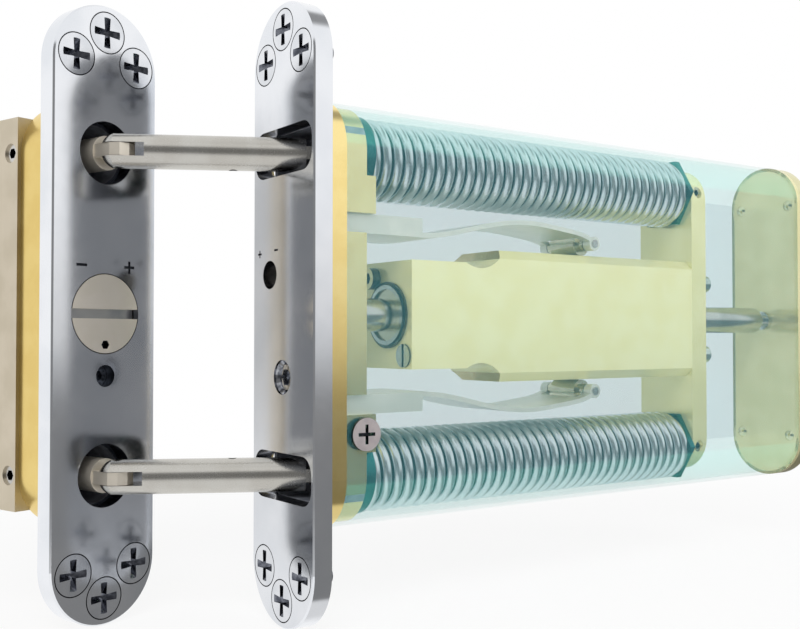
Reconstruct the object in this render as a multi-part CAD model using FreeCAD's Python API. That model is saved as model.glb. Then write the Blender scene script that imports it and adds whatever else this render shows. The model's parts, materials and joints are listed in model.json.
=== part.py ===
import FreeCAD, Part
import math
import os

# Concealed door closer: a spring and damper unit that sits inside a door, two arms, and an anchor in the jamb.
# X runs from the face of the door plate into the door, Z is up and Y points to the side the arms swing to.
# The origin is the centre of the front face of the door plate. All sizes are in millimetres.
# The closer is drawn with the door about seventy degrees open.

os.makedirs("parts", exist_ok=True)

# The damper bore sets the cross section: cylinder, casing, springs and plates are built up from it
bore = 16.0
rod_diameter = 9.0
gland_wall = 1.1
cylinder_side_wall = 1.85
cylinder_side_gap = 1.85
casing_wall = 1.1
spring_clearance = 1.8
leaf_space = 12.0

# Clearances
running = 0.05
free_gap = 0.3
cut = 1.0

# Face plates, the same size on the door and on the jamb
plate_end = 24.4
plate_side = 2.1
plate_thickness = 5.3
plate_edge_chamfer = 0.4

# Plate screws
screw_head = 10.4
screw_rim = 0.6
screw_groove = 0.3
screw_shank = 4.8
screw_thread = 4.4
screw_stub = 3.0
screw_end_margin = 6.95
screw_side_margin = 14.3
screw_edge_margin = 6.7
recess_span = 8.0
recess_width = 1.5
recess_flare = 0.5
recess_tip = 1.0
recess_depth = 2.3

# Arm slots in the door plate
slot_margin = 1.1
slot_half_height = 6.15
slot_corner = 4.5

# Other holes in the door plate
fixing_height = -16.3
fixing_head = 8.9
fixing_shank = 5.0
fixing_sink = 1.2
fixing_cover = 4.0
fixing_key = 4.0
fixing_key_depth = 2.6
key_hole = 7.4

# Engraved plus and minus marks
mark_width = 0.7
mark_length = 3.2
mark_depth = 0.25
door_mark_width = 0.5
door_mark_length = 2.0
door_mark_side = 4.5
door_mark_shift = 1.1
door_mark_rise = 2.6
door_plus_drop = 0.6
jamb_mark_side = 7.4
jamb_mark_rise = 1.9

# Front block
band_length = 5.5
core_length = 6.7
pad_length = 2.8
pad_drop = 6.3
funnel_wall = 1.5
funnel_step = 3.5
funnel_half_height = 6.0
rod_cover = 1.7

# Casing screws
casing_screw_head = 8.4
casing_screw_shank = 3.2
casing_screw_depth = 6.9
casing_screw_setback = 5.5
casing_screw_drop = 11.1
casing_screw_proud = 0.8
casing_cross_span = 5.0
casing_cross_width = 0.9
casing_cross_depth = 1.5

# End plate, end cap and rivets
end_space = 46.4
end_plate_thickness = 1.6
end_cap_thickness = 4.6
rivet_head = 3.7
rivet_dome = 2.2
rivet_dome_sink = 1.2
rivet_shank = 2.4
rivet_reach = 2.5
rivet_side_inset = 2.9
rivet_drop = 0.7

# Coil springs, two in series on each side
spring_wire = 2.8
spring_pitch = 3.5
front_spring_length = 64.9
seat_thickness = 2.6
seat_sleeve = 1.3
seat_sleeve_wall = 1.2
seat_rim = 0.2
seat_bore_play = 0.4
hex_corner_gap = 0.8
hex_thickness = 2.1

# Cylinder block
cylinder_setback = 15.4
cylinder_length = 112.7
cylinder_cover = 3.6
cylinder_step = 4.1
cylinder_edge_bevel = 2.6
scoop_distance = 23.6
scoop_radius = 9.6
scoop_depth = 1.4
bore_front_wall = 5.0
bore_rear_wall = 4.0

# Glands, plug and valve on the front of the cylinder
gland_proud = 1.2
gland_depth = 1.5
gland_step_width = 0.9
gland_step_height = 0.5
gland_ring_wall = 2.0
washer_proud = 0.5
valve_outer = 6.0
valve_proud = 2.6
valve_depth = 3.0
valve_key = 3.0
valve_key_depth = 2.2
valve_angle = 56.31
valve_gap = 0.16
plug_outer = 6.3
plug_angle = 56.12
plug_gap = 1.0
plug_proud = 0.5
plug_slot_width = 0.9
plug_slot_depth = 0.9

# Crosshead
crosshead_thickness = 7.0
crosshead_end = 8.4
crosshead_grub = 3.8
crosshead_grub_sink = 0.9
crosshead_grub_key = 1.9
crosshead_grub_key_depth = 1.5
crosshead_screw_head = 5.6
crosshead_screw_shank = 3.0
crosshead_screw_depth = 3.2
crosshead_screw_proud = 3.4
crosshead_screw_key = 2.5
crosshead_screw_key_depth = 1.8
crosshead_screw_inset = 3.35
crosshead_screw_drop = 2.9
rear_gland_wall = 1.9
rear_gland_thickness = 1.0

# Piston rod and piston
rod_shoulder_gap = 7.5
rod_chamfer = 1.8
rod_neck = 4.2
rod_anchor = 2.0
collar_diameter = 6.6
collar_thickness = 2.0
piston_distance = 73.1
piston_length = 12.0
piston_groove = 3.0
piston_groove_depth = 1.3
tie_rod_diameter = 8.0

# Leaf springs and rollers
leaf_thickness = 1.3
leaf_root_drop = 21.0
leaf_flange = 5.0
leaf_root_length = 25.6
leaf_crest_distance = 26.0
leaf_crest_drop = 14.8
leaf_lead = 3.0
leaf_shape_rise = 0.3
leaf_shape_fall = 1.1
roller_distance = 68.1
roller_radius = 3.3
roller_shoulder = 2.8
roller_sleeve_radius = 2.1
pin_radius = 1.2
pin_end = 0.3
eye_radius = 2.1
eye_length = 3.0
eye_reach = 3.4
eye_wrap = 1.9
roller_window = 1.6

# Arms and links
arm_diameter = 8.9
fork_slot = 3.5
fork_crown = 0.2
tongue_play = 0.1
tongue_inset = 0.3
tongue_sides = 10
fork_floor = 6.7
pivot_pin = 3.0
pivot_play = 0.05
pivot_pin_inset = 0.25
shoulder_gap = 0.5
inner_pivot_depth = 6.7
outer_pivot_x = -34.4
outer_pivot_y = 24.1
arm_hole = 2.2
arm_hole_reach = 29.0

# Jamb unit, in its own frame: n out of the plate, v across it
door_angle = 72.2
outer_pivot_proud = 5.0
link_hole = 16.4
link_end = 30.0
spacer_rim = 0.1
spacer_depth = 11.5
spacer_hole_step = 0.4
anchor_side = 1.1
anchor_end = 9.1
anchor_depth = 21.0
anchor_grub = 5.0
anchor_grub_depth = 3.2
anchor_grub_sink = 0.6
anchor_grub_key = 2.5
anchor_grub_key_depth = 2.4
adjuster_diameter = 20.4
adjuster_gap = 0.25
adjuster_slot = 2.5
adjuster_slot_depth = 2.2
adjuster_stem = 9.0
adjuster_reach = 4.0
lock_hole = 5.7
lock_drop = 5.6
lock_shank = 4.0
lock_head = 2.0
lock_depth = 6.0
lock_key = 2.5
lock_key_depth = 1.4
grub_rim = 0.7
grub_diameter = 3.0
grub_floor = 1.0
grub_sink = 0.1
grub_key = 2.1
grub_key_depth = 1.9

# Cross section, worked out from the bore outwards
gland_radius = 0.5 * bore + gland_wall
wide = gland_radius + cylinder_side_wall
inner_radius = wide + cylinder_side_gap
body_radius = inner_radius + casing_wall
spring_radius = inner_radius - spring_clearance
valve_reach = gland_radius + 0.5 * valve_outer + valve_gap
key_y = valve_reach * math.cos(math.radians(valve_angle))
key_z = valve_reach * math.sin(math.radians(valve_angle))
plug_reach = gland_radius + 0.5 * plug_outer + plug_gap
plug_y = -plug_reach * math.cos(math.radians(plug_angle))
plug_z = -plug_reach * math.sin(math.radians(plug_angle))
front_high = cylinder_cover - plug_z
high = front_high + cylinder_step
arm_height = high + leaf_space + spring_radius
plate_half_width = body_radius + plate_side
plate_half_length = arm_height + body_radius + plate_end

# Stations along the door unit, worked out from the plate inwards
casing_start = plate_thickness + band_length
block_rear = casing_start + core_length
pad_rear = block_rear + pad_length
seat_front = block_rear + seat_sleeve
seat_rear = seat_front + seat_thickness
spring_join = seat_rear + front_spring_length
cylinder_front = block_rear + cylinder_setback
crosshead_front = cylinder_front + cylinder_length
crosshead_rear = crosshead_front + crosshead_thickness
casing_end = crosshead_rear + end_space
cap_start = casing_end + end_plate_thickness
cap_end = cap_start + end_cap_thickness
inner_pivot_x = plate_thickness + inner_pivot_depth

# Both sides of the middle plane
both = (1.0, -1.0)

def box(x0, x1, y0, y1, z0, z1):
    return Part.makeBox(x1 - x0, y1 - y0, z1 - z0, FreeCAD.Vector(x0, y0, z0))

def rod_x(radius, x0, x1, y=0.0, z=0.0):
    return Part.makeCylinder(radius, x1 - x0, FreeCAD.Vector(x0, y, z), FreeCAD.Vector(1, 0, 0))

# A round bar along Y between two places, given in either order
def rod_y(radius, ya, yb, x, z):
    y0, y1 = sorted((ya, yb))
    return Part.makeCylinder(radius, y1 - y0, FreeCAD.Vector(x, y0, z), FreeCAD.Vector(0, 1, 0))

def rod_z(radius, z0, z1, x, y):
    return Part.makeCylinder(radius, z1 - z0, FreeCAD.Vector(x, y, z0), FreeCAD.Vector(0, 0, 1))

def cone_x(r0, r1, x0, x1, y=0.0, z=0.0):
    return Part.makeCone(r0, r1, x1 - x0, FreeCAD.Vector(x0, y, z), FreeCAD.Vector(1, 0, 0))

def ring_x(outer, inner, x0, x1, y=0.0, z=0.0):
    return rod_x(outer, x0, x1, y, z).cut(rod_x(inner, x0 - cut, x1 + cut, y, z))

def prism_x(points, x0, x1):
    wire = Part.makePolygon([FreeCAD.Vector(x0, y, z) for y, z in points + points[:1]])
    return Part.Face(wire).extrude(FreeCAD.Vector(x1 - x0, 0, 0))

def prism_y(points, y0, y1):
    wire = Part.makePolygon([FreeCAD.Vector(x, y0, z) for x, z in points + points[:1]])
    return Part.Face(wire).extrude(FreeCAD.Vector(0, y1 - y0, 0))

def prism_z(points, z0, z1):
    wire = Part.makePolygon([FreeCAD.Vector(x, y, z0) for x, y in points + points[:1]])
    return Part.Face(wire).extrude(FreeCAD.Vector(0, 0, z1 - z0))

# An upright slab with round ends: the outline of plates and of the body
def oval_x(radius, middle, x0, x1):
    slab = box(x0, x1, -radius, radius, -middle, middle)
    slab = slab.fuse(rod_x(radius, x0, x1, 0.0, middle))
    slab = slab.fuse(rod_x(radius, x0, x1, 0.0, -middle))
    return slab.removeSplitter()

# The corners of a regular polygon round a point, the first one along the first axis
def polygon(sides, corner, a, b):
    turns = [2.0 * math.pi * k / sides for k in range(sides)]
    return [(a + corner * math.cos(t), b + corner * math.sin(t)) for t in turns]

def hexagon(across_flats, a, b):
    return polygon(6, across_flats / math.sqrt(3.0), a, b)

def hex_x(across_flats, x0, x1, y=0.0, z=0.0):
    return prism_x(hexagon(across_flats, y, z), x0, x1)

def rounded_box_x(half_y, half_z, corner, x0, x1, z=0.0):
    block = box(x0, x1, -half_y, half_y, z - half_z, z + half_z)
    edges = []
    for edge in block.Edges:
        start, end = edge.Vertexes[0].Point, edge.Vertexes[1].Point
        if abs(start.x - end.x) > 0.5 * (x1 - x0):
            edges.append(edge)
    return block.makeFillet(corner, edges)

def mirrored(shape):
    return shape.mirror(FreeCAD.Vector(0, 0, 0), FreeCAD.Vector(0, 0, 1))

def joined(shapes):
    whole = shapes[0]
    for shape in shapes[1:]:
        whole = whole.fuse(shape)
    return whole.removeSplitter()

def without(shape, tools):
    for tool in tools:
        shape = shape.cut(tool)
    return shape

def group(shapes):
    return Part.makeCompound(shapes)

def at_height(shape, z):
    moved = shape.copy()
    moved.translate(FreeCAD.Vector(0, 0, z))
    return moved

# A rotation about Z followed by a move, for the arms and for the jamb unit
def placed(shape, turn, x, y):
    moved = shape.copy()
    moved.rotate(FreeCAD.Vector(0, 0, 0), FreeCAD.Vector(0, 0, 1), turn)
    moved.translate(FreeCAD.Vector(x, y, 0))
    return moved

# Fasteners, with the head at x = 0 and the shank towards +X. The arms of the cross widen towards their ends.
def cross_recess(y, z):
    far = 0.5 * recess_span
    narrow = 0.5 * recess_width
    wide_end = narrow + 0.5 * recess_flare
    bow = [(-far, -wide_end), (0.0, -narrow), (far, -wide_end), (far, wide_end), (0.0, narrow), (-far, wide_end)]
    arm = prism_x([(y + a, z + b) for a, b in bow], 0.0, recess_depth)
    post = prism_x([(y + b, z + a) for a, b in bow], 0.0, recess_depth)
    point = cone_x(far, 0.5 * recess_tip, 0.0, recess_depth, y, z)
    return arm.fuse(post).common(point)

def countersunk(y, z, head, shank, reach):
    taper = 0.5 * (head - shank)
    body = [rod_x(0.5 * head, 0.0, screw_rim, y, z),
            cone_x(0.5 * head, 0.5 * shank, screw_rim, screw_rim + taper, y, z),
            rod_x(0.5 * shank, screw_rim, reach, y, z)]
    return joined(body)

def plate_screw(y, z):
    head = countersunk(y, z, screw_head, screw_shank, plate_thickness)
    thread = rod_x(0.5 * screw_thread, plate_thickness, plate_thickness + screw_stub, y, z)
    return head.fuse(thread).cut(cross_recess(y, z))

# The hole for a plate screw has a narrow groove round the head
def screw_hole(y, z):
    groove = rod_x(0.5 * screw_head + screw_groove, -cut, screw_rim, y, z)
    return groove.fuse(countersunk(y, z, screw_head, screw_shank, plate_thickness + cut))

screw_side = plate_half_width - screw_edge_margin
plate_screw_spots = []
for up in both:
    plate_screw_spots.append((0.0, up * (plate_half_length - screw_end_margin)))
    plate_screw_spots.append((-screw_side, up * (plate_half_length - screw_side_margin)))
    plate_screw_spots.append((screw_side, up * (plate_half_length - screw_side_margin)))

def plate_blank():
    blank = oval_x(plate_half_width, plate_half_length - plate_half_width, 0.0, plate_thickness)
    front = [edge for edge in blank.Edges if edge.BoundBox.XMax < 0.01]
    blank = blank.makeChamfer(plate_edge_chamfer, front)
    return without(blank, [screw_hole(y, z) for y, z in plate_screw_spots])

def plate_screws():
    return group([plate_screw(y, z) for y, z in plate_screw_spots])

# A hole through a plate
def plate_hole(diameter, y, z):
    return rod_x(0.5 * diameter, -cut, plate_thickness + cut, y, z)

# Marks cut into a plate face at x = 0
def minus_mark(y, z, length, width):
    return box(-cut, mark_depth, y - 0.5 * length, y + 0.5 * length, z - 0.5 * width, z + 0.5 * width)

def plus_mark(y, z, length, width):
    return minus_mark(y, z, length, width).fuse(minus_mark(y, z, width, length))

parts = {}

# Door plate
slots = [rounded_box_x(plate_half_width - slot_margin, slot_half_height, slot_corner,
                       -cut, plate_thickness + cut, up * arm_height) for up in both]
door_mark_y = key_y + door_mark_shift
door_mark_z = key_z + 0.5 * key_hole + door_mark_rise
parts["door_face_plate"] = without(plate_blank(), slots + [
    countersunk(0.0, fixing_height, fixing_head, fixing_shank, plate_thickness + cut),
    plate_hole(key_hole, key_y, key_z),
    plus_mark(door_mark_y + door_mark_side, door_mark_z - door_plus_drop, door_mark_length, door_mark_width),
    minus_mark(door_mark_y - door_mark_side, door_mark_z, door_mark_length, door_mark_width)])
parts["door_plate_screws"] = plate_screws()

fixing_reach = block_rear - fixing_cover
fixing = countersunk(0.0, fixing_height, fixing_head - 2.0 * fixing_sink, fixing_shank,
                     fixing_reach - fixing_sink)
fixing = fixing.cut(hex_x(fixing_key, -cut, fixing_key_depth, 0.0, fixing_height))
parts["centre_fixing_screw"] = placed(fixing, 0.0, fixing_sink, 0.0)

# Holes for the two casing screws, on opposite sides and at opposite ends
casing_screw_x = casing_start + casing_screw_setback
casing_screw_z = arm_height - casing_screw_drop
casing_screw_sides = ((-1.0, -casing_screw_z), (1.0, casing_screw_z))

def casing_screw_hole(side, z):
    return rod_y(0.5 * casing_screw_shank, side * (body_radius - casing_screw_depth),
                 side * (body_radius + cut), casing_screw_x, z)

# Front block: a full size band behind the plate, a smaller part inside the casing, and pads that cradle
# the spring seats from the middle of the closer
rod_start = plate_thickness + rod_cover
leaf_root_z = arm_height - leaf_root_drop
leaf_root_top = leaf_root_z + leaf_flange
seat_radius = spring_radius + seat_rim
band = oval_x(body_radius, arm_height, plate_thickness, casing_start)
core_radius = inner_radius - running
core = oval_x(core_radius, arm_height, casing_start, block_rear)
pad = box(block_rear, pad_rear, -core_radius, core_radius, leaf_root_top, arm_height - pad_drop)
pad = pad.cut(rod_x(seat_radius + free_gap, block_rear, pad_rear + cut, 0.0, arm_height))
front_block = joined([band, core, pad, mirrored(pad)])
mouth_wide = body_radius - funnel_wall
mouth_narrow = inner_radius - funnel_step
mouth = [(plate_thickness - cut, -mouth_wide), (plate_thickness, -mouth_wide),
         (block_rear, -mouth_narrow), (block_rear + cut, -mouth_narrow),
         (block_rear + cut, mouth_narrow), (block_rear, mouth_narrow),
         (plate_thickness, mouth_wide), (plate_thickness - cut, mouth_wide)]
funnel = prism_z(mouth, arm_height - funnel_half_height, arm_height + funnel_half_height)
leaf_seat = box(casing_start, pad_rear + cut, -body_radius, body_radius, leaf_root_z, leaf_root_top)
block_cuts = [funnel, mirrored(funnel), leaf_seat, mirrored(leaf_seat),
              rod_x(0.5 * rod_diameter, rod_start, block_rear + cut),
              rod_x(0.5 * fixing_shank, 0.0, fixing_reach, 0.0, fixing_height),
              rod_x(0.5 * key_hole, 0.0, block_rear + cut, key_y, key_z)]
block_cuts += [casing_screw_hole(side, z) for side, z in casing_screw_sides]
parts["front_block"] = without(front_block, block_cuts)

# Casing and its screws
casing = oval_x(body_radius, arm_height, casing_start, casing_end)
casing = casing.cut(oval_x(inner_radius, arm_height, casing_start - cut, casing_end + cut))
parts["casing"] = without(casing, [casing_screw_hole(side, z) for side, z in casing_screw_sides])

def casing_screw(side, z):
    outside = side * (body_radius + casing_screw_proud)
    head = rod_y(0.5 * casing_screw_head, side * body_radius, outside, casing_screw_x, z)
    shank = rod_y(0.5 * casing_screw_shank, side * (body_radius - casing_screw_depth), side * body_radius,
                  casing_screw_x, z)
    low, top = sorted((outside + side * cut, outside - side * casing_cross_depth))
    span = 0.5 * casing_cross_span
    half = 0.5 * casing_cross_width
    cross = box(casing_screw_x - span, casing_screw_x + span, low, top, z - half, z + half)
    cross = cross.fuse(box(casing_screw_x - half, casing_screw_x + half, low, top, z - span, z + span))
    return head.fuse(shank).cut(cross).removeSplitter()

parts["casing_screws"] = group([casing_screw(side, z) for side, z in casing_screw_sides])

# End plate and cap with four rivets, and a hole for the neck of the rod
neck_end = cap_start + rod_anchor
rivet_y = inner_radius - rivet_side_inset
rivet_z = arm_height - rivet_drop
end_cuts = [rod_x(0.5 * rod_neck, casing_end - cut, neck_end)]
rivets = []
for y in (-rivet_y, rivet_y):
    for z in (-rivet_z, rivet_z):
        shank = rod_x(0.5 * rivet_shank, casing_end, cap_start + rivet_reach, y, z)
        dome = Part.makeSphere(rivet_dome, FreeCAD.Vector(casing_end + rivet_dome_sink, y, z))
        dome = dome.common(rod_x(0.5 * rivet_head, casing_end - rivet_dome, casing_end, y, z))
        end_cuts.append(shank)
        rivets.append(shank.fuse(dome).removeSplitter())
parts["end_plate"] = without(oval_x(body_radius, arm_height, casing_end, cap_start), end_cuts)
parts["end_cap"] = without(oval_x(body_radius, arm_height, cap_start, cap_end), end_cuts)
parts["end_rivets"] = group(rivets)

# Piston rod with its piston, held in the front block and by a collar at the end plate
rod_radius = 0.5 * rod_diameter
rod_shoulder = casing_end - rod_shoulder_gap
parts["piston_rod"] = joined([
    rod_x(rod_radius, rod_start, rod_shoulder),
    cone_x(rod_radius, rod_radius - rod_chamfer, rod_shoulder, rod_shoulder + rod_chamfer),
    rod_x(0.5 * rod_neck, rod_shoulder, neck_end)])
parts["rod_collar"] = ring_x(0.5 * collar_diameter, 0.5 * rod_neck, casing_end - collar_thickness, casing_end)
piston_middle = cylinder_front + piston_distance
piston_outer = 0.5 * bore - running
groove_radius = 0.5 * bore - piston_groove_depth
groove_start = piston_middle - 0.5 * piston_groove
groove_end = piston_middle + 0.5 * piston_groove
piston = ring_x(piston_outer, rod_radius,
                piston_middle - 0.5 * piston_length, piston_middle + 0.5 * piston_length)
parts["piston"] = piston.cut(ring_x(bore, groove_radius, groove_start, groove_end))
parts["piston_seal"] = ring_x(piston_outer, groove_radius, groove_start, groove_end)

# Front spring seats: rings with a thin sleeve against the block
seat_bore_radius = spring_radius - spring_wire + seat_bore_play
front_seats = []
for up in both:
    sleeve = ring_x(seat_radius, seat_radius - seat_sleeve_wall, block_rear, seat_front, 0.0, up * arm_height)
    front_seats.append(joined([
        sleeve, ring_x(seat_radius, seat_bore_radius, seat_front, seat_rear, 0.0, up * arm_height)]))
parts["front_spring_seats"] = group(front_seats)

# Leaf springs: a channel shaped root in the block, an S shaped strip, and a forked end with two eyes
def strip(points, thickness, y0, y1):
    centre = Part.BSplineCurve()
    centre.interpolate([FreeCAD.Vector(x, 0, z) for x, z in points])
    upper = []
    lower = []
    steps = 40
    for k in range(steps + 1):
        t = centre.FirstParameter + (centre.LastParameter - centre.FirstParameter) * k / steps
        spot = centre.value(t)
        run = centre.tangent(t)[0]
        normal = FreeCAD.Vector(-run.z, 0, run.x)
        upper.append(spot + normal * (0.5 * thickness))
        lower.append(spot - normal * (0.5 * thickness))
    top = Part.BSplineCurve()
    top.interpolate(upper)
    bottom = Part.BSplineCurve()
    bottom.interpolate(lower)
    edges = [top.toShape(), Part.makeLine(upper[-1], lower[-1]),
             bottom.toShape(), Part.makeLine(lower[0], upper[0])]
    face = Part.Face(Part.Wire(Part.__sortEdges__(edges)))
    face.translate(FreeCAD.Vector(0, y0, 0))
    return face.extrude(FreeCAD.Vector(0, y1 - y0, 0))

leaf_half_width = spring_radius
leaf_root_end = casing_start + leaf_root_length
root_middle = leaf_root_z + 0.5 * leaf_thickness
roller_x = cylinder_front + roller_distance
roller_z = high + free_gap + roller_radius
crest_x = roller_x - leaf_crest_distance
crest_z = arm_height - leaf_crest_drop
leaf_line = [(leaf_root_end - leaf_lead, root_middle),
             (leaf_root_end + leaf_lead, root_middle),
             (0.5 * (leaf_root_end + crest_x), 0.5 * (root_middle + crest_z) + leaf_shape_rise),
             (crest_x, crest_z),
             (0.5 * (crest_x + roller_x), crest_z - leaf_shape_fall),
             (roller_x - eye_reach, roller_z + eye_wrap),
             (roller_x - 0.5 * eye_radius, roller_z + 0.5 * eye_radius)]
leaf_pieces = [
    strip(leaf_line, leaf_thickness, -leaf_half_width, leaf_half_width),
    box(casing_start, leaf_root_end, -leaf_half_width, leaf_half_width,
        leaf_root_z, leaf_root_z + leaf_thickness),
    box(casing_start, leaf_root_end, -leaf_half_width, -leaf_half_width + leaf_thickness,
        leaf_root_z, leaf_root_top),
    box(casing_start, leaf_root_end, leaf_half_width - leaf_thickness, leaf_half_width,
        leaf_root_z, leaf_root_top)]
for side in both:
    leaf_pieces.append(rod_y(eye_radius, side * leaf_half_width, side * (leaf_half_width - eye_length),
                             roller_x, roller_z))
gap_half = leaf_half_width - eye_length
pin_half = leaf_half_width + pin_end
leaf = joined(leaf_pieces)
leaf = leaf.cut(rod_y(pin_radius, -pin_half, pin_half, roller_x, roller_z))
leaf = leaf.cut(box(roller_x - roller_radius - roller_window, roller_x + 2.0 * roller_radius,
                    -gap_half, gap_half, roller_z - 2.0 * roller_radius, roller_z + 2.0 * roller_radius))
roller_pin = rod_y(pin_radius, -pin_half, pin_half, roller_x, roller_z)
roller_half = gap_half - roller_shoulder
sleeve_half = gap_half - free_gap
roller = joined([rod_y(roller_radius, -roller_half, roller_half, roller_x, roller_z),
                 rod_y(roller_sleeve_radius, -sleeve_half, sleeve_half, roller_x, roller_z)])
roller = roller.cut(rod_y(pin_radius + running, -pin_half, pin_half, roller_x, roller_z))
parts["upper_leaf_spring"] = leaf
parts["lower_leaf_spring"] = mirrored(leaf)
parts["roller_pins"] = group([roller_pin, mirrored(roller_pin)])
parts["upper_roller"] = roller
parts["lower_roller"] = mirrored(roller)

# Cylinder block: low at the front, a scoop up to the full height, bevelled edges and a closed bore
bevel = cylinder_edge_bevel
outline = [(-wide, -high + bevel), (-wide + bevel, -high), (wide - bevel, -high), (wide, -high + bevel),
           (wide, high - bevel), (wide - bevel, high), (-wide + bevel, high), (-wide, high - bevel)]
scoop_x = cylinder_front + scoop_distance
scoop_z = front_high - scoop_depth + scoop_radius
scoop_start = scoop_x - math.sqrt(scoop_radius ** 2 - (scoop_radius - scoop_depth) ** 2)
step = box(cylinder_front - cut, scoop_start, -wide - cut, wide + cut, front_high, high + cut)
scoop = rod_y(scoop_radius, -wide - cut, wide + cut, scoop_x, scoop_z)
gland_seat = cylinder_front + gland_depth
valve_seat = cylinder_front + valve_depth
screw_seat = crosshead_front - crosshead_screw_depth
screw_y = wide - crosshead_screw_inset
screw_z = front_high - crosshead_screw_drop
crosshead_spots = [(y, z) for y in (-screw_y, screw_y) for z in (-screw_z, screw_z)]
rod_passage = rod_x(rod_radius + running, cylinder_front - cut, crosshead_rear + cut)
crosshead_holes = [rod_x(0.5 * crosshead_screw_shank, screw_seat, crosshead_rear + cut, y, z)
                   for y, z in crosshead_spots]
parts["cylinder_block"] = without(prism_x(outline, cylinder_front, crosshead_front), [
    step, mirrored(step), scoop, mirrored(scoop), rod_passage,
    rod_x(0.5 * bore, cylinder_front + bore_front_wall, crosshead_front - bore_rear_wall),
    rod_x(gland_radius, cylinder_front - cut, gland_seat),
    rod_x(0.5 * valve_outer + running, cylinder_front - cut, valve_seat, key_y, key_z),
    rod_x(0.5 * plug_outer, cylinder_front - cut, valve_seat, plug_y, plug_z)] + crosshead_holes)

# Front gland: stepped ring with a flat washer inside, then the valve and the plug beside it
gland_face = cylinder_front - gland_proud
gland_bore = gland_radius - gland_ring_wall
gland = ring_x(gland_radius, gland_bore, gland_face, gland_seat)
gland_step = ring_x(2.0 * gland_radius, gland_radius - gland_step_width,
                    gland_face - cut, gland_face + gland_step_height)
parts["front_gland_ring"] = gland.cut(gland_step)
parts["front_gland_washer"] = ring_x(gland_bore, rod_radius + running,
                                     cylinder_front - washer_proud, gland_seat)
valve_face = cylinder_front - valve_proud
valve = rod_x(0.5 * valve_outer, valve_face, valve_seat, key_y, key_z)
valve_socket = hex_x(valve_key, valve_face - cut, valve_face + valve_key_depth, key_y, key_z)
parts["speed_valve"] = valve.cut(valve_socket)
plug_face = cylinder_front - plug_proud
plug = rod_x(0.5 * plug_outer, plug_face, valve_seat, plug_y, plug_z)
parts["front_plug"] = plug.cut(box(plug_face - cut, plug_face + plug_slot_depth,
                                   plug_y - 0.5 * plug_slot_width, plug_y + 0.5 * plug_slot_width,
                                   plug_z - plug_outer, plug_z + plug_outer))

# Crosshead and the parts it carries
tie_radius = 0.5 * tie_rod_diameter
grub_x = 0.5 * (crosshead_front + crosshead_rear)
crosshead_middle = arm_height + crosshead_end - wide
tie_holes = [rod_x(tie_radius, crosshead_front - cut, crosshead_rear + cut, 0.0, up * arm_height) for up in both]
grub_radius = 0.5 * crosshead_grub
grub_face = -wide + crosshead_grub_sink
grub_hole = rod_y(grub_radius, -wide - cut, -tie_radius + crosshead_grub_sink, grub_x, arm_height)
crosshead = oval_x(wide, crosshead_middle, crosshead_front, crosshead_rear)
parts["crosshead"] = without(crosshead, [rod_passage, grub_hole, mirrored(grub_hole)]
                             + tie_holes + crosshead_holes)
grub = rod_y(grub_radius, grub_face, -tie_radius, grub_x, arm_height)
grub = grub.cut(prism_y(hexagon(crosshead_grub_key, grub_x, arm_height),
                        grub_face - cut, grub_face + crosshead_grub_key_depth))
parts["crosshead_grub_screws"] = group([grub, mirrored(grub)])
screw_face = crosshead_rear + crosshead_screw_proud
crosshead_screws = []
for y, z in crosshead_spots:
    head = rod_x(0.5 * crosshead_screw_head, crosshead_rear, screw_face, y, z)
    screw = head.fuse(rod_x(0.5 * crosshead_screw_shank, screw_seat, crosshead_rear, y, z))
    socket = hex_x(crosshead_screw_key, screw_face - crosshead_screw_key_depth, screw_face + cut, y, z)
    crosshead_screws.append(screw.cut(socket).removeSplitter())
parts["crosshead_screws"] = group(crosshead_screws)
parts["rear_gland_ring"] = ring_x(rod_radius + rear_gland_wall, rod_radius + running,
                                  crosshead_rear, crosshead_rear + rear_gland_thickness)

# Hexagonal rear spring seats
hex_front = crosshead_front - hex_thickness
hex_across = math.sqrt(3.0) * (inner_radius - hex_corner_gap)
seat_holes = [rod_x(tie_radius, hex_front - cut, crosshead_front + cut, 0.0, up * arm_height) for up in both]
parts["rear_spring_seats"] = group([
    hex_x(hex_across, hex_front, crosshead_front, 0.0, up * arm_height).cut(hole)
    for up, hole in zip(both, seat_holes)])

# Coil spring between two planes, with ground ends. Each half turn is half a ring, tilted so that the next one
# follows on smoothly, which makes a right handed spring.
def coil(x0, x1, start_side):
    mean = spring_radius - 0.5 * spring_wire
    halves = int(round(2.0 * (x1 - x0) / spring_pitch))
    rise = (x1 - x0) / halves
    rings = []
    for k in range(halves):
        side = start_side if k % 2 == 0 else -start_side
        start = FreeCAD.Vector(x0 + k * rise, 0, side * mean)
        middle = FreeCAD.Vector(x0 + (k + 0.5) * rise, 0, 0)
        travel = FreeCAD.Vector(0, -side, 0)
        disc = Part.Face(Part.Wire(Part.makeCircle(0.5 * spring_wire, start, travel)))
        rings.append(disc.revolve(middle, (start - middle).cross(travel), 180.0))
    wire = rings[0].multiFuse(rings[1:])
    return wire.common(rod_x(spring_radius + cut, x0, x1))

for name, shape in (("front_spring", coil(seat_rear, spring_join, 1.0)),
                    ("rear_spring", coil(spring_join, hex_front, -1.0))):
    for side, up in zip(("upper_", "lower_"), both):
        parts[side + name] = at_height(shape, up * arm_height)

# Tie rods: from the crosshead through the springs to a fork round the inner pivot
arm_radius = 0.5 * arm_diameter
pin_hole = 0.5 * pivot_pin
tongue_half = 0.5 * fork_slot - tongue_play

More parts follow.
